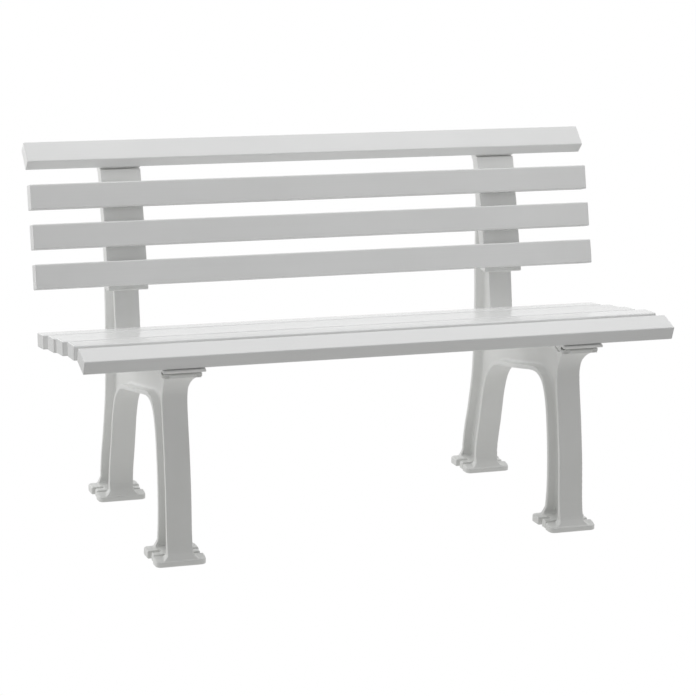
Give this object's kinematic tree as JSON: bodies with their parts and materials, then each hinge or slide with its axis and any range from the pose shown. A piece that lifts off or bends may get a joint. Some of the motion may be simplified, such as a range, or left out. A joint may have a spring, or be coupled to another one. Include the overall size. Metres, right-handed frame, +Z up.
{
  "type": "garden bench",
  "caption": "Slatted white plastic garden bench with a reclined back on two moulded side frames with spread feet.",
  "frame": {"origin": "middle of the bounding box on the floor plane", "axes": "+X along the bench, towards its right-hand end seen from the front; -Y towards the front edge of the seat; +Z up"},
  "size_m": [1.2, 0.5519, 0.7424],
  "materials": {
    "slat_plastic": "smooth white extruded plastic with a soft gloss",
    "frame_plastic": "moulded white plastic, satin",
    "cap_plastic": "moulded white plastic, satin",
    "screw_steel": "zinc plated"
  },
  "bodies": {
    "root": {"frame_left": "frame_plastic", "frame_right": "frame_plastic", "slat_seat_1": "slat_plastic", "cap_seat_1_left": "cap_plastic", "cap_seat_1_right": "cap_plastic", "screws_seat_1": "screw_steel", "slat_seat_2": "slat_plastic", "cap_seat_2_left": "cap_plastic", "cap_seat_2_right": "cap_plastic", "screws_seat_2": "screw_steel", "slat_seat_3": "slat_plastic", "cap_seat_3_left": "cap_plastic", "cap_seat_3_right": "cap_plastic", "screws_seat_3": "screw_steel", "slat_seat_4": "slat_plastic", "cap_seat_4_left": "cap_plastic", "cap_seat_4_right": "cap_plastic", "screws_seat_4": "screw_steel", "slat_seat_5": "slat_plastic", "cap_seat_5_left": "cap_plastic", "cap_seat_5_right": "cap_plastic", "screws_seat_5": "screw_steel", "slat_back_1": "slat_plastic", "cap_back_1_left": "cap_plastic", "cap_back_1_right": "cap_plastic", "screws_back_1": "screw_steel", "slat_back_2": "slat_plastic", "cap_back_2_left": "cap_plastic", "cap_back_2_right": "cap_plastic", "screws_back_2": "screw_steel", "slat_back_3": "slat_plastic", "cap_back_3_left": "cap_plastic", "cap_back_3_right": "cap_plastic", "screws_back_3": "screw_steel", "slat_back_4": "slat_plastic", "cap_back_4_left": "cap_plastic", "cap_back_4_right": "cap_plastic", "screws_back_4": "screw_steel"}
  },
  "joints": []
}
